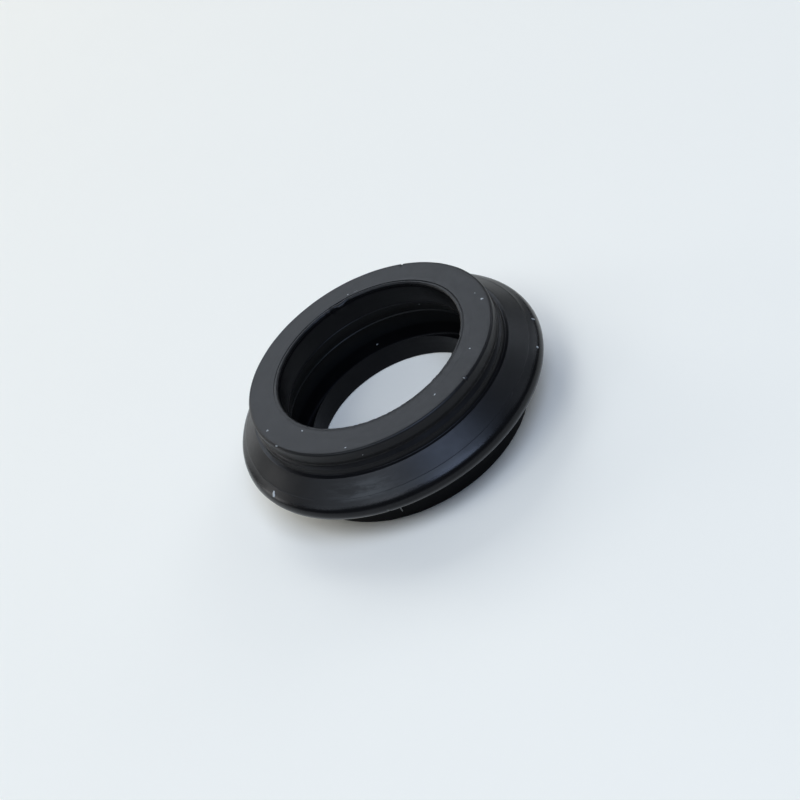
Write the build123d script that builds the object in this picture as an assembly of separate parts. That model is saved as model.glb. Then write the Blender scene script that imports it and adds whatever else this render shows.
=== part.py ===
from build123d import *
from math import asin, atan2, hypot, tan
import os

# Oil cooler pipe seal: one moulded rubber ring.
# Two plain collars, one above and one below, carry a conical flange with a
# rounded rim between them.  The bore has a flared lip at its mouth, a deep
# relief channel, and a plain land at the bottom that grips the pipe.  The
# land's back falls away under its upper edge, so the land can flex outwards.
#
# All sizes are in millimetres.  The ring stands on its lower end face with the
# origin at the middle of that face and its axis on +Z.  The half-section is
# drawn as corners of (radius, height, rounding) and revolved about Z.

# Bore
land_radius = 11.7           # plain land that grips the pipe
land_length = 3.2            # from the lower end face up to the relief channel
land_bevel = 0.25            # lower edge of the land
land_edge = 0.1              # bevel of the land's upper edge
land_undercut = 2.2          # fall of the land's back, from its upper edge to the channel
lip_radius = 11.9            # narrowest circle of the mouth lip
lip_length = 6.15            # from the upper end face down to the relief channel
mouth_bevel = 0.3            # between the upper end face and the lip
flare_break_depth = 3.6      # where the lip's flare steepens, below the end face
flare_break_reach = 0.4      # how far the bore has opened at that break
flare_reach = 1.4            # how far the bore has opened at the relief channel
relief_depth = 2.5           # channel floor, measured out from the land
relief_bevel = 0.6           # inner corners of the channel

# Collars, the same above and below the flange
collar_wall = 4.3            # from the land out to the plain collar
collar_plain = 1.35          # plain cylinder, from the end face to the groove
end_bevel = 0.2              # outer edge of each end face
groove_width = 0.7           # from the plain cylinder down to the groove's floor
groove_depth = 0.12
ridge_width = 0.65           # from the groove's floor, out over the ridge, to the neck
ridge_reach = 0.37           # crest of the ridge beyond the plain collar
ridge_crest = 0.2            # width of the ridge's flat crest
ridge_break = 0.05           # short bevel from the crest into the neck
neck_length = 0.45           # from the ridge down to the level of the flange's foot
neck_depth = 0.15            # wall of the neck, in from the ridge's crest
slot_depth = 0.35            # the neck's slot, below the flange's foot
slot_width = 0.2             # flat bottom of the slot

# Flange
flange_root_reach = 0.8      # foot of the cone beyond the plain collar
flange_reach = 3.95          # rim beyond the plain collar
flange_root_thickness = 6.1  # between the feet of the two cones
rim_round = 1.2              # full round of the rim
strip_width = 1.25           # raised strip, measured in from the rim
strip_step = 0.07            # height of the strip above the cone
strip_step_run = 0.06        # radial run of the step

# Levels and radii that follow
collar_radius = land_radius + collar_wall
collar_height = collar_plain + groove_width + ridge_width + neck_length
crest_radius = collar_radius + ridge_reach
flange_root_radius = collar_radius + flange_root_reach
rim_radius = collar_radius + flange_reach
relief_radius = land_radius + relief_depth
flange_root_height = collar_height + flange_root_thickness
mid_height = collar_height + flange_root_thickness / 2
height = 2 * mid_height

# The strip's line runs from above the cone's foot and touches the rim's round.
rim_centre_run = rim_radius - rim_round - flange_root_radius
strip_rise = flange_root_thickness / 2 + strip_step
rim_centre_slope = atan2(strip_rise, rim_centre_run)
cone_slope = rim_centre_slope - asin(rim_round / hypot(rim_centre_run, strip_rise))


def mirrored(corners):
    """The same corners below the flange's middle plane, in running order."""
    return [(r, height - z, rounding) for r, z, rounding in reversed(corners)]


def collar_corners():
    """Upper collar: bevelled edge, plain cylinder and the shallow groove that narrows it."""
    groove_top = height - collar_plain
    return [
        (collar_radius - end_bevel, height, 0),
        (collar_radius, height - end_bevel, 0),
        (collar_radius, groove_top, 0),
        (collar_radius - groove_depth, groove_top - groove_width, 0),
    ]


def ridge_corners():
    """Ridge round the collar's foot: a short slope out of the groove to a narrow crest."""
    crest_bottom = flange_root_height + neck_length + ridge_break
    return [
        (crest_radius, crest_bottom + ridge_crest, 0),
        (crest_radius, crest_bottom, 0),
    ]


def neck_corners():
    """Neck under the ridge, with a narrow slot between it and the flange."""
    neck_radius = crest_radius - neck_depth
    slot_floor = flange_root_height - slot_depth
    return [
        (neck_radius, flange_root_height + neck_length, 0),
        (neck_radius, slot_floor, 0),
        (neck_radius + slot_width, slot_floor, 0),
    ]


def cone_height(radius):
    """Height of the flange's upper cone at a radius, without the strip."""
    return flange_root_height - (radius - flange_root_radius) * tan(cone_slope)


def flange_corners():
    """Upper cone and the raised strip at its edge."""
    step_radius = rim_radius - strip_width
    strip_radius = step_radius + strip_step_run
    return [
        (flange_root_radius, cone_height(flange_root_radius), 0),
        (step_radius, cone_height(step_radius), 0),
        (strip_radius, cone_height(strip_radius) + strip_step, 0),
    ]


def rim_corner():
    """Where the two strips' lines would meet; the rim's full round cuts it off."""
    tip_radius = flange_root_radius + strip_rise / tan(cone_slope)
    return [(tip_radius, mid_height, rim_round)]


def land_corners():
    """Plain land at the bottom of the bore, bevelled at both ends."""
    return [
        (land_radius + land_bevel, 0, 0),
        (land_radius, land_bevel, 0),
        (land_radius, land_length - land_edge, 0),
        (land_radius + land_edge, land_length, 0),
    ]


def relief_corners():
    """Relief channel behind the land's sloping back, up to the lip's flat root."""
    heel = land_length - land_undercut
    roof = height - lip_length
    bevel = min(relief_bevel, 0.45 * (roof - heel))
    back_slope = land_undercut / (relief_depth - land_edge)
    return [
        (relief_radius - bevel, heel + bevel * back_slope, 0),
        (relief_radius, heel + bevel, 0),
        (relief_radius, roof - bevel, 0),
        (relief_radius - bevel, roof, 0),
    ]


def lip_corners():
    """Mouth lip, narrowest at the mouth and flaring down to the channel."""
    return [
        (lip_radius + flare_reach, height - lip_length, 0),
        (lip_radius + flare_break_reach, height - flare_break_depth, 0),
        (lip_radius, height - mouth_bevel, 0),
        (lip_radius + mouth_bevel, height, 0),
    ]


def half_section():
    """Closed half-section of the ring, on the XZ plane."""
    bore = land_corners() + relief_corners() + lip_corners()
    upper = collar_corners() + ridge_corners() + neck_corners() + flange_corners()
    corners = bore + upper + rim_corner() + mirrored(upper)
    points = [(r, z) for r, z, rounding in corners]
    roundings = [rounding for r, z, rounding in corners]
    outline = FilletPolyline(*points, radius=roundings, close=True)
    return Plane.XZ * make_face(outline)


def seal_ring():
    """The whole ring, turned about its axis."""
    return revolve(half_section(), Axis.Z)


os.makedirs("parts", exist_ok=True)
export_step(seal_ring(), "parts/seal_ring.step")
print("height", round(height, 3), "rim diameter", round(2 * rim_radius, 3))
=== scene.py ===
import math

import bmesh
import bpy
import numpy as np
from bpy.props import FloatProperty, FloatVectorProperty, IntProperty, PointerProperty
from mathutils import Matrix, Vector


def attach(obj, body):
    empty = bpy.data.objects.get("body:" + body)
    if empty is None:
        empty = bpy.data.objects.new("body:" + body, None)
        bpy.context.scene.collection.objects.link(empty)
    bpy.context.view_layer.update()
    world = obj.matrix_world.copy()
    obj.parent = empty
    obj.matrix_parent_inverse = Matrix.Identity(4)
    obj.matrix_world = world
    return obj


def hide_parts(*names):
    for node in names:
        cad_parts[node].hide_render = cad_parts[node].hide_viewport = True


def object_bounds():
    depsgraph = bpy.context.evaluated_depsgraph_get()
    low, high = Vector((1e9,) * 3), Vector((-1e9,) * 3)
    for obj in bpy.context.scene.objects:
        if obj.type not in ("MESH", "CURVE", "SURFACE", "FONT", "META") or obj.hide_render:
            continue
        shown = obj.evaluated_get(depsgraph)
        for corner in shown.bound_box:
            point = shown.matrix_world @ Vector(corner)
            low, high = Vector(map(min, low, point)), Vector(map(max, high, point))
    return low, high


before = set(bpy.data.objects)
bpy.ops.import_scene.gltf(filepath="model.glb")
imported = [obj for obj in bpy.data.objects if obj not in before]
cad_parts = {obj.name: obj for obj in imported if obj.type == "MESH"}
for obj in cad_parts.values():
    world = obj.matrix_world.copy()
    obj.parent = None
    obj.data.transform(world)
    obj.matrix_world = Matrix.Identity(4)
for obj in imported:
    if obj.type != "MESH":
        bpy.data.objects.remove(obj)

bl_info = {
    "name": "Pipe Seal",
    "version": (1, 0, 0),
    "blender": (4, 5, 0),
    "location": "3D View > Sidebar > Pipe Seal",
    "description": "Dresses a moulded rubber pipe seal and sets it on a plain stage",
    "category": "Add Mesh",
}

# The ring stands on its lower end face, with its axis on +Z and the origin at
# the middle of that face.  Lengths are in metres; MM turns millimetres to them.
# Angles round the ring are counted from +X, anticlockwise seen from above.
MM = 0.001
NODE = "seal_ring"
BODY = "root"
CAD_LOW, CAD_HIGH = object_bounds()
CREST_DROP = 0.05 * MM  # from the ridge's crest to the height where it meets the neck


# Sizes, flaws, finish and stage ---------------------------------------------

def length(name, description, value):
    """A size in metres that the sidebar shows as a length."""
    return FloatProperty(name=name, description=description, default=value,
                         unit="LENGTH", precision=5)


def angle(name, description, degrees):
    """An angle, given in degrees."""
    return FloatProperty(name=name, description=description, default=math.radians(degrees),
                         subtype="ANGLE")


def share(name, description, value):
    """A number from 0 to 1."""
    return FloatProperty(name=name, description=description, default=value,
                         min=0.0, max=1.0, subtype="FACTOR")


def colour(name, description, value):
    """A linear colour."""
    return FloatVectorProperty(name=name, description=description, default=value + (1.0,), size=4,
                               min=0.0, max=1.0, subtype="COLOR")


class SealSizes(bpy.types.PropertyGroup):
    """Sizes of the ring's half-section, outside and bore."""

    rim_radius: length("Rim radius", "Widest circle of the flange", CAD_HIGH.x)
    height: length("Height", "Between the two end faces", CAD_HIGH.z)
    dust_room: length("Dust room", "How far the upper face sits under the full height", 0.05 * MM)
    collar_radius: length("Collar radius", "Plain collars above and below", 16.0 * MM)
    collar_plain: length("Plain collar", "From an end face to the groove", 1.35 * MM)
    end_round: length("End round", "Outer edge of each end face", 0.33 * MM)
    groove_width: length("Groove width", "From the plain collar down to the groove's floor", 0.53 * MM)
    groove_depth: length("Groove depth", "Depth of that groove", 0.1 * MM)
    ridge_width: length("Ridge width", "From the groove's floor, out over the ridge, to the neck", 0.77 * MM)
    ridge_reach: length("Ridge reach", "Ridge's crest beyond the collar", 0.26 * MM)
    ridge_crest: length("Ridge crest", "Width of the ridge's flat crest", 0.22 * MM)
    neck_length: length("Neck length", "From the ridge down to the flange's foot", 0.5 * MM)
    neck_depth: length("Neck depth", "Wall of the neck, in from the ridge's crest", 0.07 * MM)
    slot_depth: length("Slot depth", "The neck's slot, below the flange's foot", 0.1 * MM)
    slot_width: length("Slot width", "Flat bottom of the slot", 0.16 * MM)
    neck_taper: length("Neck taper", "How much the neck widens down to the slot", 0.11 * MM)
    flange_root: length("Flange foot radius", "Where the cone starts", 16.8 * MM)
    rim_round: length("Rim round", "Full round of the rim", 1.2 * MM)
    strip_width: length("Strip width", "Raised strip, in from the rim", 1.25 * MM)
    strip_step: length("Strip step", "Height of the strip above the cone", 0.05 * MM)
    land_radius: length("Land radius", "Plain land that grips the pipe", 11.7 * MM)
    land_length: length("Land length", "From the lower end face to its upper edge", 3.2 * MM)
    undercut: length("Undercut", "Fall of the land's back, from its upper edge", 2.35 * MM)
    relief_radius: length("Channel radius", "Floor of the relief channel", 14.2 * MM)
    lip_radius: length("Lip radius", "Narrowest circle of the mouth lip", 11.9 * MM)
    lip_length: length("Lip length", "From the upper end face to the channel", 6.15 * MM)
    mouth_round: length("Mouth round", "Between the lip and its rolled edge", 0.29 * MM)
    lip_undercut: length("Lip undercut", "Depth of the shallow channel under the mouth's edge", 0.08 * MM)
    mouth_edge: length("Mouth edge", "Width of the lip's rolled edge", 0.40 * MM)
    mouth_line: length("Mouth line", "Depth of the fine line round that edge", 0.12 * MM)
    mouth_gap: length("Mouth gap", "Width of that line", 0.17 * MM)
    bead: length("Beads", "Reach of the beads round the bore", 0.17 * MM)
    flare_break: length("Flare break", "Where the flare steepens, below the end face", 3.6 * MM)
    flare_break_reach: length("Flare at the break", "Opening of the bore there", 0.4 * MM)
    flare_reach: length("Flare at the channel", "Opening of the bore there", 1.4 * MM)
    core_offset: length("Core offset", "Bore's axis off the collars' axis, from the mould", 0.15 * MM)
    steps: IntProperty(name="Steps", description="Even steps round the ring",
                       default=272, min=64, max=272)


class SealFlaws(bpy.types.PropertyGroup):
    """How far the moulded shape wanders, and its damage."""

    wander: length("Wander", "Slow waviness of the walls and faces", 0.05 * MM)
    ragged: length("Ragged lip", "Trimmed edge of the mouth, in and out", 0.05 * MM)
    parting: length("Parting line", "Height of the parting line on the rim", 0.03 * MM)
    grain: length("Grain", "Depth of the mould's grain", 0.012 * MM)


class SealFinish(bpy.types.PropertyGroup):
    """Colours and surface of the rubber and the dust."""

    rubber: colour("Rubber", "Plain moulded rubber", (0.0055, 0.0055, 0.006))
    rubber_dark: colour("Dark rubber", "Darker blotches in it", (0.004, 0.004, 0.0045))
    # Pale colour mixed into the rubber: a real smear on the flange's near side that is partly a painted
    # highlight, a painted highlight on the strip, and a thin paler layer in the relief channel.
    smear_and_highlight: colour("Bloom", "Pale bloom wiped over the flange", (0.036, 0.038, 0.038))
    dust: colour("Dust", "Pale flecks", (0.62, 0.64, 0.64))
    dust_dark: colour("Dull dust", "Duller parts of the flecks", (0.25, 0.26, 0.26))
    sheen: colour("Sheen", "Cool tint of the rubber's sheen", (0.93, 0.95, 1.0))
    roughness: share("Roughness", "Roughness of the collars and the end faces", 0.4)
    rim_roughness: share("Rim roughness", "Roughness of the smoother rim", 0.24)
    gloss: share("Gloss", "Strength of the rubber's sheen", 0.235)
    # A weaker sheen that paints shade into the bore and onto the lower collar under the flange.
    shade_gloss: share("Dull gloss", "Strength of the sheen in the bore and on the lower collar", 0.085)


class SealStage(bpy.types.PropertyGroup):
    """Floor, lamps and camera."""

    floor: colour("Floor", "Plain pale floor", (0.97, 0.92, 0.81))
    floor_width: length("Floor width", "Side of the square floor", 4000 * MM)
    room_light: share("Room light", "Even light from all round", 0.02)
    level: FloatProperty(name="Lamp level", description="All lamps' strength together",
                         default=2.18, min=0.0)
    lamp_reach: length("Lamp reach", "Lamps' distance from the ring", 1000 * MM)
    camera_reach: length("Camera reach", "Camera's distance from the axis, level", 120.77 * MM)
    camera_height: length("Camera height", "Camera's height over the floor", 99.03 * MM)
    camera_aim: length("Camera aim", "Where it looks on the upper face, out from the axis", 11.14 * MM)
    camera_aside: length("Camera aside", "Where it looks, to the right of the axis", 0.4 * MM)
    camera_lean: angle("Camera lean", "Turn about its own line of sight", 31.2)
    lens: FloatProperty(name="Lens", description="Focal length", default=56.25, unit="CAMERA")


# Section --------------------------------------------------------------------

def cone_line(sizes):
    """Slope of the flange's upper cone, and its foot's height over the middle plane."""
    collar_height = sizes.collar_plain + sizes.groove_width + sizes.ridge_width + sizes.neck_length
    foot = sizes.height / 2 - collar_height
    run = sizes.rim_radius - sizes.rim_round - sizes.flange_root
    rise = foot + sizes.strip_step
    slope = math.atan2(rise, run) - math.asin(sizes.rim_round / math.hypot(run, rise))
    return slope, foot


def cone_height(sizes, radius):
    """Height of the flange's upper cone over the middle plane at a radius."""
    slope, foot = cone_line(sizes)
    return foot - (radius - sizes.flange_root) * math.tan(slope)


def outside_corners(sizes):
    """Corners (radius, height over the middle plane, rounding) of the outside's upper half."""
    slope, foot = cone_line(sizes)
    top = sizes.height / 2
    groove = top - sizes.collar_plain
    groove_floor = groove - sizes.groove_width
    ridge_end = groove_floor - sizes.ridge_width
    crest = sizes.collar_radius + sizes.ridge_reach
    crest_end = ridge_end + CREST_DROP
    neck = crest - sizes.neck_depth
    slot_floor = foot - sizes.slot_depth
    step = sizes.rim_radius - sizes.strip_width
    strip = step + sizes.strip_step
    tip = sizes.flange_root + (foot + sizes.strip_step) / math.tan(slope)
    return [
        (sizes.collar_radius, top, sizes.end_round),
        (sizes.collar_radius, groove, 0.6 * MM),
        (sizes.collar_radius - sizes.groove_depth, groove_floor, 0.14 * MM),
        (crest, crest_end + sizes.ridge_crest, 0.1 * MM),
        (crest, crest_end, 0.05 * MM),
        (neck, ridge_end, 0.04 * MM),
        (neck + sizes.neck_taper, slot_floor, 0.1 * MM),
        (neck + sizes.neck_taper + sizes.slot_width, slot_floor, 0.08 * MM),
        (sizes.flange_root, foot, 0.08 * MM),
        (step, cone_height(sizes, step), 0.03 * MM),
        (strip, cone_height(sizes, strip) + sizes.strip_step, 0.04 * MM),
        (tip, 0.0, sizes.rim_round),
    ]


def face_level(sizes):
    """Height of the upper end face, which leaves room above it for the dust."""
    return sizes.height - sizes.dust_room


def bore_corners(sizes):
    """Corners (radius, height, rounding) of the bore, from the lower end face up."""
    top = face_level(sizes)
    lip = sizes.lip_radius
    channel_top = sizes.height - sizes.lip_length
    flare_end = lip + sizes.flare_reach
    flare_bead = channel_top + 0.09 * MM
    break_height = sizes.height - sizes.flare_break
    break_radius = lip + sizes.flare_break_reach
    mouth_channel = top - 0.46 * MM
    edge = lip + sizes.mouth_edge
    line_floor = top - sizes.mouth_line
    sharp = 0.01 * MM
    tight = 0.03 * MM
    return [
        (sizes.land_radius, 0.0, 0.25 * MM),
        (sizes.land_radius, sizes.land_length, sharp),
        (sizes.land_radius + 0.08 * MM, sizes.land_length - 0.065 * MM, sharp),
        (sizes.relief_radius, sizes.land_length - sizes.undercut, 0.35 * MM),
        (sizes.relief_radius, channel_top, 0.6 * MM),
        (flare_end, channel_top, 0.08 * MM),
        (flare_end - sizes.bead, flare_bead, tight),
        (flare_end - 0.01 * MM, flare_bead + sizes.bead * 0.85, 0.05 * MM),
        (break_radius - sizes.bead * 0.55, break_height - 0.09 * MM, tight),
        (break_radius, break_height, tight),
        (lip, mouth_channel - 0.2 * MM, 0.05 * MM),
        (lip + sizes.lip_undercut, mouth_channel, 0.04 * MM),
        (lip, mouth_channel + 0.13 * MM, 0.02 * MM),
        (lip, top, sizes.mouth_round),
        (edge, top, tight),
        (edge + sizes.mouth_gap * 0.4, line_floor, sharp),
        (edge + sizes.mouth_gap * 0.6, line_floor, sharp),
        (edge + sizes.mouth_gap, top, tight),
    ]


# The bore's corners from the relief channel's floor up to the break of the flare.
BORE_WALL = slice(3, 10)


def section_corners(sizes):
    """All corners of the half-section, anticlockwise from the bore's lower edge."""
    middle = sizes.height / 2
    top = face_level(sizes)
    outside = outside_corners(sizes)
    upper = [(radius, min(middle + level, top), rounding) for radius, level, rounding in outside]
    lower = [(radius, middle - level, rounding) for radius, level, rounding in reversed(outside[:-1])]
    return bore_corners(sizes) + upper + lower


def corner_arc(before, here, after, radius, arc_step):
    """Points of the arc that rounds one corner."""
    into, out = (before - here).normalized(), (after - here).normalized()
    turn = math.pi - into.angle(out)
    centre = here + (into + out).normalized() * (radius / math.cos(turn / 2))
    setback = radius * math.tan(turn / 2)
    start, end = here + into * setback - centre, here + out * setback - centre
    sweep = start.angle_signed(end)
    pieces = max(2, math.ceil(turn / arc_step))
    turns = [Matrix.Rotation(-sweep * piece / pieces, 2) for piece in range(pieces + 1)]
    return [centre + turned @ start for turned in turns]


def section_outline(sizes, arc_step=math.radians(14), line_step=0.45 * MM):
    """Points along the closed half-section, with every corner rounded to its radius.

    The outside below the middle height turns to the floor, so its arcs have fewer points.
    """
    corners = section_corners(sizes)
    spots = [Vector(corner[:2]) for corner in corners]
    points = []
    for index, (radius, height, rounding) in enumerate(corners):
        after = spots[(index + 1) % len(spots)]
        turned_down = radius > sizes.collar_radius - 1.0 * MM and height < sizes.height / 2
        step = 2 * arc_step if turned_down else arc_step
        points += corner_arc(spots[index - 1], spots[index], after, rounding, step)
    spaced = []
    for index, point in enumerate(points):
        following = points[(index + 1) % len(points)]
        pieces = max(1, math.ceil((following - point).length / line_step))
        spaced += [point.lerp(following, piece / pieces) for piece in range(pieces)]
    return np.array([tuple(point) for point in spaced])


# Flaws ----------------------------------------------------------------------

# The damage, by its place in degrees round the ring.  A chip or a tear also has its reach in
# millimetres, which is below zero where the rubber stands in towards the axis.
EDGE_CHIPS = ((52.5, 0.2), (-60.5, 0.1))
LIP_TEARS = ((83.0, 0.08), (94.5, 0.14), (97.5, -0.08), (-34.0, 0.1))
LIP_FLAP = 89.0
LINE_OPEN = 60.0
RIM_NICK = -111.0

# Waves round the ring in each kind of waviness, with the seed of their phases.
SLOW = ((2, 3, 4, 5, 7, 9), 3)
QUICK = ((11, 14, 17, 23, 29, 37), 5)
SUNK = ((2, 3, 5, 6), 8)
FRAY = (range(31, 150, 7), 11)
FINE = (range(41, 200, 9), 14)


def wander(angles, waves, seed):
    """A smooth closed curve round the ring, between about -1 and 1."""
    random = np.random.default_rng(seed)
    phases = random.uniform(0, 2 * math.pi, len(waves))
    swings = random.uniform(0.5, 1.0, len(waves))
    parts = zip(waves, phases, swings)
    total = sum(swing * np.cos(wave * angles + phase) for wave, phase, swing in parts)
    return total / (1.6 * math.sqrt((swings ** 2).sum()))


def hump(offset, reach):
    """A smooth hump: 1 at no offset, 0 from reach on."""
    near = np.clip(1 - np.abs(offset) / reach, 0, 1)
    return near * near * (3 - 2 * near)


def from_place(angles, degrees, radius):
    """Distance along a circle from a place given in degrees."""
    turned = (angles - math.radians(degrees) + math.pi) % (2 * math.pi) - math.pi
    return turned * radius


# Each flaw below takes the ring's points by angle, radius and height, and gives how far they
# move out from the axis and how far they lift.

def wavy_walls(sizes, flaws, angles, radius, height):
    """The outside drawn in, and the upper end face sunk, by a slow waviness."""
    outside = np.clip((radius - sizes.collar_radius + 0.8 * MM) / (0.6 * MM), 0, 1)
    quick = wander(angles, *QUICK)
    out = -outside * flaws.wander * (0.5 + 0.4 * wander(angles, *SLOW) + 0.1 * quick)
    lift = -flaws.wander * (0.5 + 0.4 * wander(angles, *SUNK) + 0.1 * quick)
    return out, lift * near_face(sizes, height)


def near_face(sizes, height):
    """1 at the upper end face, 0 from just below it."""
    return np.clip((height - face_level(sizes) + 0.6 * MM) / (0.5 * MM), 0, 1)


def uneven_root(sizes, angles, radius, height):
    """The ridge set higher and the neck fuller at the sides, and the slot closed on the left."""
    sides = np.cos(angles) ** 2
    left = np.clip(-1.6 * np.cos(angles), 0, 1)
    foot = sizes.height / 2 + cone_line(sizes)[1]
    neck_top = foot + sizes.neck_length
    crest_top = neck_top + CREST_DROP + sizes.ridge_crest
    slot_floor = foot - sizes.slot_depth
    root = (radius > sizes.collar_radius + 0.1 * MM) & (radius < sizes.flange_root - 0.1 * MM)
    crest = hump(height - crest_top, 0.18 * MM) * root * sides
    neck = hump(height - (foot + neck_top) / 2, 0.4 * MM) * root * np.maximum(sides, left)
    slot = hump(height - slot_floor, 0.1 * MM) * root * left
    return neck * sizes.neck_depth * 0.9, crest * 0.22 * MM + slot * sizes.slot_depth * 0.9


def on_lip(sizes, radius, height):
    """1 on the mouth's edge, falling to 0 about it."""
    down = face_level(sizes) - 0.3 * MM - height
    return hump(down, 0.9 * MM) * hump(radius - sizes.lip_radius, 0.75 * MM)


def ragged_lip(sizes, flaws, angles, radius, height):
    """The mouth's edge frayed where it was trimmed, with its small tears."""
    lip = on_lip(sizes, radius, height)
    out = lip * flaws.ragged * wander(angles, *FRAY)
    lift = -lip * flaws.ragged * 0.4 * (1 + wander(angles, *FINE))
    for place, reach in LIP_TEARS:
        tear = hump(from_place(angles, place, sizes.lip_radius), 0.36 * MM) * lip
        out = out + tear * reach * MM
        lift = lift - tear * max(reach, 0.0) * 0.9 * MM
    return out, lift


def torn_line(sizes, angles, radius, height):
    """The mouth's line closed but for one stretch, with a flap of the lip and a crack behind it."""
    top = face_level(sizes)
    lip = on_lip(sizes, radius, height)
    on_face = height > top - 0.2 * MM
    line_radius = sizes.lip_radius + sizes.mouth_edge + sizes.mouth_gap / 2
    line = hump(radius - line_radius, sizes.mouth_gap)
    line = line * np.clip((top - height) / sizes.mouth_line, 0, 1)
    from_open = np.cos(angles - math.radians(LINE_OPEN))
    closed = np.clip(0.55 - 0.9 * from_open + 0.3 * wander(angles, *SLOW), 0, 1)
    swell = hump(radius - sizes.lip_radius - 0.27 * MM, 0.22 * MM) * near_face(sizes, height)
    swell = swell * hump(from_place(angles, LINE_OPEN, 1.0), 0.75)
    flap = hump(from_place(angles, LIP_FLAP, sizes.lip_radius), 0.85 * MM)
    crack = (line + 0.25 * lip) * flap * on_face
    lift = line * closed * on_face * sizes.mouth_line + swell * 0.04 * MM - crack * 0.3 * MM
    return -lip * flap * 0.2 * MM, lift


def worn_strip(sizes, angles, radius, height):
    """The flange's strip worn level with the cone, but for its near side."""
    step = sizes.rim_radius - sizes.strip_width
    strip = np.clip((radius - step) / (0.1 * MM), 0, 1) * (height > sizes.height / 2)
    strip = strip * np.clip((sizes.rim_radius - 0.25 * MM - radius) / (0.5 * MM), 0, 1)
    return 0.0, -strip * sizes.strip_step * np.clip(0.9 + 1.6 * np.sin(angles), 0, 1)


def chipped_edge(sizes, angles, radius, height):
    """Small chips out of the upper collar's edge."""
    edge = hump(height - face_level(sizes), 0.5 * MM)
    edge = edge * hump(radius - sizes.collar_radius, 0.5 * MM)
    moved = 0.0
    for place, depth in EDGE_CHIPS:
        chip = hump(from_place(angles, place, sizes.collar_radius), 0.22 * MM) * edge
        moved = moved - chip * depth * MM
    return moved, moved


def rim_seam(sizes, flaws, angles, radius, height):
    """The rim drawn in about its parting line, with one nick."""
    low = height - sizes.height / 2
    rim = np.clip((radius - sizes.rim_radius + sizes.rim_round) / (0.4 * MM), 0, 1)
    seam = hump(low, 0.14 * MM) * rim
    nick = hump(from_place(angles, RIM_NICK, sizes.rim_radius), 0.22 * MM)
    nick = nick * rim * hump(low + 0.7 * MM, 0.5 * MM)
    return (seam - rim) * flaws.parting - nick * 0.15 * MM, 0.0


def flawed(sizes, flaws, angles, radius, height):
    """How far the ring's points move out and lift, with every flaw taken together."""
    place = (angles, radius, height)
    moves = (
        wavy_walls(sizes, flaws, *place),
        uneven_root(sizes, *place),
        ragged_lip(sizes, flaws, *place),
        torn_line(sizes, *place),
        worn_strip(sizes, *place),
        chipped_edge(sizes, *place),
        rim_seam(sizes, flaws, *place),
    )
    return sum(out for out, lift in moves), sum(lift for out, lift in moves)


# Meshes ---------------------------------------------------------------------

def ring_angles(sizes):
    """Angles of the steps round the ring: even, with closer ones at the damage."""
    angles = set(np.linspace(-180.0, 180.0, sizes.steps, endpoint=False))
    for place in [chip[0] for chip in EDGE_CHIPS] + [RIM_NICK]:
        angles |= set(place + np.linspace(-0.8, 0.8, 9))
    angles |= set(np.arange(LIP_FLAP - 7.0, LIP_FLAP + 12.0, 0.3))
    kept = []
    for value in sorted(angles):
        if not kept or value - kept[-1] > 0.12:
            kept.append(value)
    return np.radians(kept)


def core_shift(sizes, radius):
    """How far the bore's axis shifts a point: fully at the lip, and not outside the channel."""
    return sizes.core_offset * np.clip((sizes.relief_radius + 0.2 * MM - radius) / (1.0 * MM), 0, 1)


def ring_mesh(name, sizes, flaws):
    """Mesh of the section turned about Z, with its flaws."""
    outline = section_outline(sizes)
    angles = ring_angles(sizes)[:, None]
    radius, height = outline[None, :, 0], outline[None, :, 1]
    out, lift = flawed(sizes, flaws, angles, radius, height)
    grid = np.stack([
        np.cos(angles) * (radius + out),
        np.sin(angles) * (radius + out) + core_shift(sizes, radius),
        np.maximum(height + lift, 0.0),
    ], axis=2)
    across = np.arange(len(outline))
    following = (across + 1) % len(outline)
    steps = len(angles)
    faces = []
    for step in range(steps):
        here, there = step * len(outline), (step + 1) % steps * len(outline)
        corners = [here + across, there + across, there + following, here + following]
        faces.append(np.stack(corners, 1))
    mesh = bpy.data.meshes.new(name)
    mesh.from_pydata(grid.reshape(-1, 3).tolist(), [], np.concatenate(faces).tolist())
    mesh.shade_smooth()
    mesh.polygons.foreach_set("material_index", np.tile(shaded_faces(sizes, outline), steps))
    return mesh


def shaded_faces(sizes, outline):
    """1 for each stretch of the outline that gets the copy of the rubber with a weaker sheen, as painted
    shade: the bore and the lower collar.
    """
    middle = (outline + np.roll(outline, -1, axis=0)) / 2
    radius, height = middle[:, 0], middle[:, 1]
    bore = (radius < sizes.relief_radius + 0.1 * MM) & (height < sizes.height - sizes.mouth_round)
    foot = sizes.height / 2 - cone_line(sizes)[1]
    return (bore | (height < foot)).astype(np.int32)


# Flecks of dust and flash.  Each has its place in degrees round the ring; its radius on a face,
# or its height on a wall; its length, width and thickness, in millimetres; and its turn in
# degrees from the circle's own direction.
FACE_FLECKS = (
    (-73.5, 14.0, 0.42, 0.24, 0.06, 20),
    (-43.5, 14.0, 0.26, 0.18, 0.05, 70),
    (-10.5, 15.0, 0.46, 0.32, 0.06, 60),
    (77.8, 12.97, 0.95, 0.07, 0.05, 3),
    (-149.5, 12.8, 0.36, 0.32, 0.06, 0),
    (-168.5, 15.0, 0.46, 0.34, 0.06, 40),
    (166.0, 14.8, 0.26, 0.16, 0.05, 30),
    (-119.5, 15.2, 0.24, 0.18, 0.04, 10),
    (-4.0, 14.6, 0.20, 0.14, 0.04, 10),
    (-60.5, 15.60, 0.34, 0.13, 0.05, 85),
    (-131.0, 15.35, 0.18, 0.12, 0.04, 50),
    (-156.0, 15.80, 0.36, 0.22, 0.10, 5),
    (82.2, 13.08, 0.34, 0.24, 0.06, 5),
)
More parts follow.
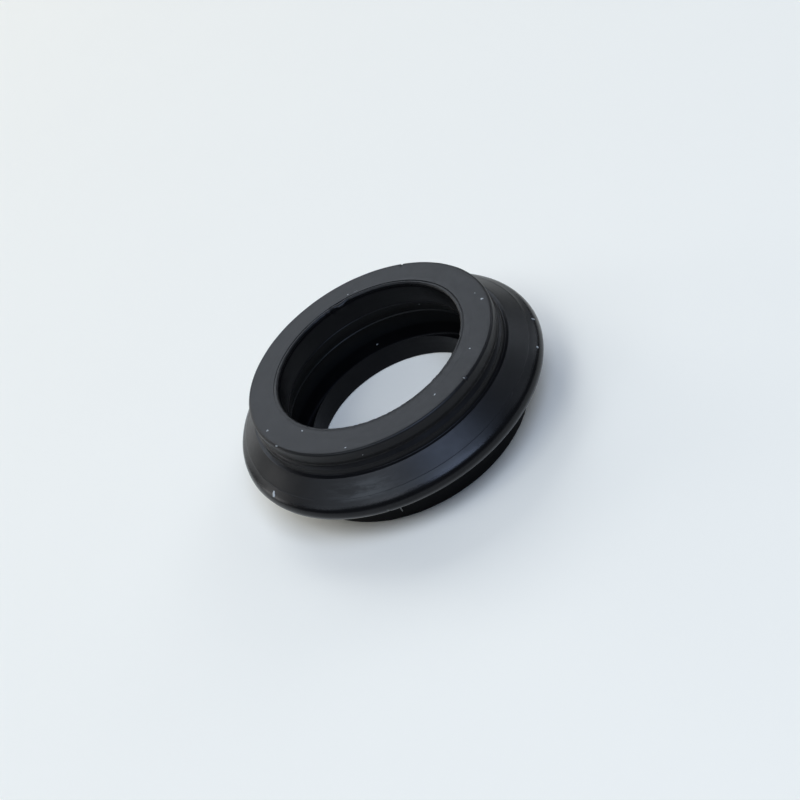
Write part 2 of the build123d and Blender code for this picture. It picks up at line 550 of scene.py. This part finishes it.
FLANGE_FLECKS = (
    (-157.5, 19.35, 0.82, 0.42, 0.12, 112),
    (-13.5, 19.45, 0.42, 0.26, 0.10, 60),
    (-28.5, 19.55, 0.34, 0.24, 0.10, 20),
)
COLLAR_FLECKS = (
    (-113.0, 11.35, 0.30, 0.08, 0.03, 80),
    (-112.0, 1.55, 1.00, 0.16, 0.10, 85),
)
BORE_FLECKS = (
    (160.0, 10.3, 0.36, 0.20, 0.06, 60),
    (118.5, 10.1, 0.30, 0.14, 0.05, 70),
    (83.0, 2.45, 0.30, 0.24, 0.12, 20),
    (45.0, 8.1, 0.18, 0.14, 0.05, 20),
)


def pebble_mesh(name, flecks, surface):
    """One mesh of flat irregular flecks, each half sunk in the surface it lies on."""
    verts, faces = [], []
    for index, (place, along_section, long, wide, thick, turn) in enumerate(flecks):
        around = math.radians(place)
        out = Vector((math.cos(around), math.sin(around), 0.0))
        along = Vector((-math.sin(around), math.cos(around), 0.0))
        spot, normal = surface(out, along_section * MM)
        turned = Matrix.Rotation(math.radians(turn), 3, normal) @ along
        side = normal.cross(turned)
        chance = np.random.default_rng(index + 40)
        blob = bmesh.new()
        bmesh.ops.create_icosphere(blob, subdivisions=2, radius=0.5)
        start = len(verts)
        for vert in blob.verts:
            swell = (1 + 0.3 * chance.uniform(-1, 1)) * MM
            reach = turned * vert.co.x * long + side * vert.co.y * wide + normal * vert.co.z * thick
            verts.append(spot + reach * swell)
        faces += [[start + vert.index for vert in face.verts] for face in blob.faces]
        blob.free()
    mesh = bpy.data.meshes.new(name)
    mesh.from_pydata(verts, [], faces)
    return mesh


def top_surface(sizes):
    """Where the upper end face lies at a radius, and which way it faces."""
    up = Vector((0, 0, 1))
    level = face_level(sizes) - 0.04 * MM
    return lambda out, radius: (out * radius + up * level, up)


def cone_surface(sizes):
    """Where the flange's upper cone lies at a radius, and which way it faces."""
    slope = cone_line(sizes)[0]

    def surface(out, radius):
        raised = sizes.strip_step if radius > sizes.rim_radius - sizes.strip_width else 0.0
        level = sizes.height / 2 + cone_height(sizes, radius) + raised
        normal = out * math.sin(slope) + Vector((0, 0, math.cos(slope)))
        return out * radius + Vector((0, 0, level)) - normal * 0.02 * MM, normal
    return surface


def collar_surface(sizes):
    """Where the collars' wall lies at a height, and which way it faces."""
    wall = sizes.collar_radius - 0.03 * MM
    return lambda out, height: (out * wall + Vector((0, 0, height)), out)


def bore_surface(sizes):
    """Where the bore's wall lies at a height, and which way it faces."""
    corners = bore_corners(sizes)[BORE_WALL]
    radii, heights, roundings = zip(*corners)

    def surface(out, height):
        radius = float(np.interp(height, heights, radii))
        return out * radius + Vector((0, core_shift(sizes, radius), height)), -out
    return surface


# Materials ------------------------------------------------------------------

def node(tree, kind, sockets=None, **settings):
    """A shader node with its settings and input values."""
    made = tree.nodes.new(kind)
    for key, value in settings.items():
        setattr(made, key, value)
    for key, value in (sockets or {}).items():
        made.inputs[key].default_value = value
    return made


def new_material(name):
    """An empty node material and its shader."""
    material = bpy.data.materials.new(name)
    material.use_nodes = True
    tree = material.node_tree
    tree.nodes.clear()
    shader = node(tree, "ShaderNodeBsdfPrincipled")
    output = node(tree, "ShaderNodeOutputMaterial")
    tree.links.new(shader.outputs["BSDF"], output.inputs["Surface"])
    return material, tree, shader


def maths(tree, operation, first, second=None, third=None):
    """The output of a Math node; each input is a socket or a number."""
    made = node(tree, "ShaderNodeMath", operation=operation)
    for slot, value in zip(made.inputs, (first, second, third)):
        if isinstance(value, bpy.types.NodeSocket):
            tree.links.new(value, slot)
        elif value is not None:
            slot.default_value = value
    return made.outputs[0]


def ramp(tree, value, low, high, out_low=0.0, out_high=1.0):
    """A value taken smoothly from one range to another."""
    made = node(tree, "ShaderNodeMapRange", interpolation_type="SMOOTHSTEP")
    tree.links.new(value, made.inputs["Value"])
    ends = {"From Min": low, "From Max": high, "To Min": out_low, "To Max": out_high}
    for key, number in ends.items():
        made.inputs[key].default_value = number
    return made.outputs["Result"]


def ring_place(tree):
    """Sockets for the place on the ring: the point, its radius, its angle and its height."""
    point = node(tree, "ShaderNodeTexCoord").outputs["Object"]
    parts = node(tree, "ShaderNodeSeparateXYZ")
    tree.links.new(point, parts.inputs[0])
    squares = [maths(tree, "POWER", parts.outputs[axis], 2.0) for axis in "XY"]
    radius = maths(tree, "SQRT", maths(tree, "ADD", *squares))
    turn = maths(tree, "ARCTAN2", parts.outputs["Y"], parts.outputs["X"])
    return point, radius, turn, parts.outputs["Z"]


def noise(tree, place, scale, detail=3.0, roughness=0.55):
    """A noise texture's value, with its scale in features per metre."""
    made = node(tree, "ShaderNodeTexNoise", {"Scale": scale, "Detail": detail, "Roughness": roughness})
    tree.links.new(place, made.inputs["Vector"])
    return made.outputs["Fac"]


def rolled_place(tree, radius, turn, height, along):
    """A point unrolled from the ring: marks drawn on it run round the ring."""
    joined = node(tree, "ShaderNodeCombineXYZ")
    tree.links.new(maths(tree, "MULTIPLY", turn, along), joined.inputs["X"])
    tree.links.new(radius, joined.inputs["Y"])
    tree.links.new(height, joined.inputs["Z"])
    return joined.outputs[0]


def patch(tree, turn, middle, reach):
    """1 at an angle round the ring, in degrees, falling to 0 at a reach either side."""
    off = maths(tree, "ABSOLUTE", maths(tree, "SUBTRACT", turn, math.radians(middle)))
    return ramp(tree, off, 0.0, math.radians(reach), 1.0, 0.0)


def mixed(tree, share_socket, first, second):
    """A colour between two, each a colour or a socket."""
    made = node(tree, "ShaderNodeMix", data_type="RGBA")
    tree.links.new(share_socket, made.inputs["Factor"])
    for slot, value in (("A", first), ("B", second)):
        if isinstance(value, bpy.types.NodeSocket):
            tree.links.new(value, made.inputs[slot])
        else:
            made.inputs[slot].default_value = value
    return made.outputs["Result"]


# Where the flange carries a pale smear with a painted highlight over it, and where its strip has a painted
# highlight: middle and reach in degrees.
SMEAR_AND_HIGHLIGHT_PLACE = (-117.0, 19.0)
# Place of the painted highlight streaked along the strip's near side.
STRIP_HIGHLIGHT_PLACE = (-97.0, 36.0)


def product(tree, *values):
    """Several sockets multiplied together."""
    result = values[0]
    for value in values[1:]:
        result = maths(tree, "MULTIPLY", result, value)
    return result


def smear_and_highlight_share(tree, sizes, rolled, radius, turn, height):
    """How much of the pale colour lies on the rubber: a pale smear on the flange that is partly a painted
    highlight, a painted highlight streaked along the strip's near side, and a thin paler layer on the relief
    channel's back wall.
    """
    step = sizes.rim_radius - sizes.strip_width
    middle = sizes.height / 2
    root = sizes.flange_root
    cone = product(tree, ramp(tree, radius, root + 0.2 * MM, root + 0.8 * MM),
                   ramp(tree, radius, step, step + 0.5 * MM, 1.0, 0.0))
    # Mottling of the flange's pale patch, which is partly a real smear and partly a painted highlight.
    patch_mottle = ramp(tree, noise(tree, rolled, 1100.0, 4.0, 0.65), 0.40, 0.62)
    smear_and_highlight_patch = product(tree, cone, patch(tree, turn, *SMEAR_AND_HIGHLIGHT_PLACE), patch_mottle)

    strip = product(tree, ramp(tree, radius, step, step + 0.15 * MM),
                    ramp(tree, radius, step + 0.5 * MM, step + 0.8 * MM, 1.0, 0.0))
    # Painted highlight: pale streaks along the strip's near side, where light catches its edge.
    strip_glint = ramp(tree, noise(tree, rolled, 600.0, 2.0), 0.3, 0.6, 0.0, 0.45)
    painted_strip_highlight = product(tree, strip, patch(tree, turn, *STRIP_HIGHLIGHT_PLACE), strip_glint)

    upper = ramp(tree, height, middle, middle + 0.3 * MM)
    flange = product(tree, maths(tree, "MAXIMUM", smear_and_highlight_patch, painted_strip_highlight), upper)

    # A thin paler layer on the relief channel's back wall.
    land, floor = sizes.land_length, sizes.relief_radius
    break_height = sizes.height - sizes.flare_break
    channel = product(tree, ramp(tree, height, land, land + 0.5 * MM),
                      ramp(tree, height, break_height - 0.9 * MM, break_height, 1.0, 0.0),
                      ramp(tree, radius, floor + 0.2 * MM, floor + 0.4 * MM, 0.2, 0.0))
    return maths(tree, "MAXIMUM", flange, channel)


def mould_marks(tree, sizes, flaws, place, radius, turn, height):
    """The surface's direction, roughened by the mould's grain and the turning lines in the bore."""
    grain = noise(tree, place, 7000.0, 3.0)
    lines = noise(tree, rolled_place(tree, radius, turn, height, 0.0004), 2600.0, 2.0)
    flare = sizes.lip_radius + 1.2 * MM
    in_bore = ramp(tree, radius, flare, flare + 0.4 * MM, 1.0, 0.0)
    marks = maths(tree, "MULTIPLY_ADD", product(tree, lines, in_bore), 2.0, grain)
    bump = node(tree, "ShaderNodeBump", {"Strength": 0.6, "Distance": flaws.grain})
    tree.links.new(marks, bump.inputs["Height"])
    return bump.outputs["Normal"]


def rubber_material(name, sizes, flaws, finish, gloss):
    """Black moulded rubber: blotches, a pale smear on the flange that is partly a painted highlight, a
    painted highlight on the strip, and a smoother rim than its collars.
    """
    material, tree, shader = new_material(name)
    place, radius, turn, height = ring_place(tree)
    rolled = rolled_place(tree, radius, turn, height, 0.004)

    blotch = ramp(tree, noise(tree, place, 330.0, 4.0), 0.35, 0.65)
    plain = mixed(tree, blotch, finish.rubber_dark, finish.rubber)
    smear_and_highlight = smear_and_highlight_share(tree, sizes, rolled, radius, turn, height)
    # Mixes in the pale colour: a smear on the flange that is partly a painted highlight, a painted highlight
    # on the strip, and a paler channel wall.
    tree.links.new(mixed(tree, smear_and_highlight, plain, finish.smear_and_highlight), shader.inputs["Base Color"])

    rim = sizes.rim_radius
    smooth = ramp(tree, radius, rim - 1.2 * MM, rim - 0.3 * MM,
                  finish.roughness - 0.03, finish.rim_roughness)
    uneven = ramp(tree, noise(tree, place, 1400.0, 3.0), 0.3, 0.7, -0.015, 0.02)
    tree.links.new(maths(tree, "ADD", smooth, uneven), shader.inputs["Roughness"])

    marks = mould_marks(tree, sizes, flaws, place, radius, turn, height)
    tree.links.new(marks, shader.inputs["Normal"])
    shader.inputs["Specular IOR Level"].default_value = gloss
    shader.inputs["Specular Tint"].default_value = finish.sheen
    return material


def dust_material(finish):
    """Pale crumbs of dust and moulding flash, uneven in colour."""
    material, tree, shader = new_material("pale_dust")
    place = node(tree, "ShaderNodeTexCoord").outputs["Object"]
    crumb = ramp(tree, noise(tree, place, 260.0, 1.0), 0.4, 0.6)
    uneven = product(tree, crumb, noise(tree, place, 6000.0))
    tree.links.new(mixed(tree, uneven, finish.dust_dark, finish.dust), shader.inputs["Base Color"])
    shader.inputs["Roughness"].default_value = 0.8
    return material


def floor_material(stage):
    """Plain pale floor, faintly uneven."""
    material, tree, shader = new_material("pale_floor")
    place = node(tree, "ShaderNodeTexCoord").outputs["Object"]
    darker = tuple(channel * 0.985 for channel in stage.floor[:3]) + (1.0,)
    uneven = mixed(tree, noise(tree, place, 30.0), darker, stage.floor)
    tree.links.new(uneven, shader.inputs["Base Color"])
    shader.inputs["Roughness"].default_value = 0.95
    shader.inputs["Specular IOR Level"].default_value = 0.1
    return material


# Operators ------------------------------------------------------------------

def place_piece(name, mesh, *materials):
    """Puts a mesh in the scene as a piece of the ring."""
    for material in materials:
        mesh.materials.append(material)
    piece = bpy.data.objects.new(name, mesh)
    bpy.context.scene.collection.objects.link(piece)
    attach(piece, BODY)
    return piece


class SEAL_OT_ring(bpy.types.Operator):
    """Make the moulded ring."""

    bl_idname = "seal.ring"
    bl_label = "Moulded ring"

    def execute(self, context):
        scene = context.scene
        sizes, flaws, finish = scene.seal_sizes, scene.seal_flaws, scene.seal_finish
        mesh = ring_mesh("moulded_ring", sizes, flaws)
        plain = rubber_material("moulded_rubber", sizes, flaws, finish, finish.gloss)
        # A copy of the rubber with a weaker sheen, painting shade into the bore and under the flange.
        shaded = rubber_material("shaded_rubber", sizes, flaws, finish, finish.shade_gloss)
        piece = place_piece("moulded_ring", mesh, plain, shaded)
        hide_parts(NODE)
        return {"FINISHED"}


class SEAL_OT_dust(bpy.types.Operator):
    """Scatter the pale flecks over the end face, the flange and the walls."""

    bl_idname = "seal.dust"
    bl_label = "Dust flecks"

    def execute(self, context):
        sizes = context.scene.seal_sizes
        material = dust_material(context.scene.seal_finish)
        groups = {
            "face_flecks": (FACE_FLECKS, top_surface(sizes)),
            "flange_flecks": (FLANGE_FLECKS, cone_surface(sizes)),
            "collar_flecks": (COLLAR_FLECKS, collar_surface(sizes)),
            "bore_flecks": (BORE_FLECKS, bore_surface(sizes)),
        }
        for name, (flecks, surface) in groups.items():
            place_piece(name, pebble_mesh(name, flecks, surface), material)
        return {"FINISHED"}


def add_lamp(name, place, strength, side, tint, reach):
    """A square lamp at (elevation, turn) in degrees, aimed at the ring."""
    elevation, turn = (math.radians(value) for value in place)
    level = math.cos(elevation)
    toward = Vector((level * math.cos(turn), level * math.sin(turn), math.sin(elevation)))
    lamp = bpy.data.lights.new(name, "AREA")
    lamp.size = side
    lamp.energy = strength
    lamp.color = tint
    holder = bpy.data.objects.new(name, lamp)
    holder.location = toward * reach
    holder.rotation_euler = (-toward).to_track_quat("-Z", "Y").to_euler()
    bpy.context.scene.collection.objects.link(holder)


# Each lamp: its elevation and its turn round the ring in degrees, its strength in watts before
# the stage's lamp level, its side as a share of its distance, and its colour.
SKY = (0.58, 0.72, 1.0)
COOL = (0.85, 0.92, 1.0)
PLAIN = (1.0, 0.99, 0.97)
LAMPS = {
    "back": ((42, 91), 1.31, 0.5, COOL),
    "front_left": ((60, 215), 1.38, 0.5, COOL),
    "front_right": ((60, 288), 2.5, 0.5, SKY),
    "right": ((42, 0), 0.22, 0.4, COOL),
    "left": ((42, 180), 0.42, 0.4, COOL),
    "low_right": ((26, 30), 0.46, 0.4, COOL),
    "low_back_right": ((26, 60), 0.20, 0.4, PLAIN),
    "low_back_left": ((26, 120), 0.44, 0.4, PLAIN),
    "window": ((11, 120), 0.32, 0.28, PLAIN),
    "window_side": ((12, 152), 0.38, 0.28, PLAIN),
}


class SEAL_OT_stage(bpy.types.Operator):
    """Set the floor, the lamps and the camera."""

    bl_idname = "seal.stage"
    bl_label = "Stage"

    def execute(self, context):
        scene = context.scene
        sizes, stage = scene.seal_sizes, scene.seal_stage
        scene.view_settings.view_transform = "Standard"

        half = stage.floor_width / 2
        mesh = bpy.data.meshes.new("floor")
        mesh.from_pydata([(-half, -half, 0), (half, -half, 0), (half, half, 0), (-half, half, 0)],
                         [], [(0, 1, 2, 3)])
        mesh.materials.append(floor_material(stage))
        floor = bpy.data.objects.new("floor", mesh)
        scene.collection.objects.link(floor)

        world = bpy.data.worlds.new("room")
        world.use_nodes = True
        background = world.node_tree.nodes["Background"]
        background.inputs["Color"].default_value = (1.0, 1.0, 1.0, 1.0)
        background.inputs["Strength"].default_value = stage.room_light
        scene.world = world
        reach = stage.lamp_reach
        for name, (place, strength, side, tint) in LAMPS.items():
            add_lamp(name, place, strength * stage.level, side * reach, tint, reach)

        camera = bpy.data.cameras.new("camera")
        camera.lens = stage.lens
        camera.clip_start = 0.001
        holder = bpy.data.objects.new("camera", camera)
        holder.location = (0.0, -stage.camera_reach, stage.camera_height)
        aim = Vector((stage.camera_aside, -stage.camera_aim, sizes.height))
        level = (aim - holder.location).to_track_quat("-Z", "Y").to_matrix().to_4x4()
        lean = Matrix.Rotation(-stage.camera_lean, 4, "Z")
        holder.rotation_euler = (level @ lean).to_euler()
        scene.collection.objects.link(holder)
        scene.camera = holder
        return {"FINISHED"}


class SEAL_PT_sidebar(bpy.types.Panel):
    """Steps of the pipe seal."""

    bl_label = "Pipe Seal"
    bl_idname = "SEAL_PT_sidebar"
    bl_space_type = "VIEW_3D"
    bl_region_type = "UI"
    bl_category = "Pipe Seal"

    def draw(self, context):
        for operator in OPERATORS:
            self.layout.operator(operator.bl_idname)
        for name, group in GROUPS.items():
            box = self.layout.box()
            for key in group.__annotations__:
                box.prop(getattr(context.scene, name), key)


GROUPS = {
    "seal_sizes": SealSizes,
    "seal_flaws": SealFlaws,
    "seal_finish": SealFinish,
    "seal_stage": SealStage,
}
OPERATORS = (SEAL_OT_ring, SEAL_OT_dust, SEAL_OT_stage)


def register():
    for name, group in GROUPS.items():
        bpy.utils.register_class(group)
        setattr(bpy.types.Scene, name, PointerProperty(type=group))
    for operator in OPERATORS:
        bpy.utils.register_class(operator)
    bpy.utils.register_class(SEAL_PT_sidebar)


def unregister():
    bpy.utils.unregister_class(SEAL_PT_sidebar)
    for operator in reversed(OPERATORS):
        bpy.utils.unregister_class(operator)
    for name, group in GROUPS.items():
        delattr(bpy.types.Scene, name)
        bpy.utils.unregister_class(group)


def main():
    """Makes every piece and the stage."""
    register()
    bpy.ops.seal.ring()
    bpy.ops.seal.dust()
    bpy.ops.seal.stage()


if __name__ == "__main__":
    main()
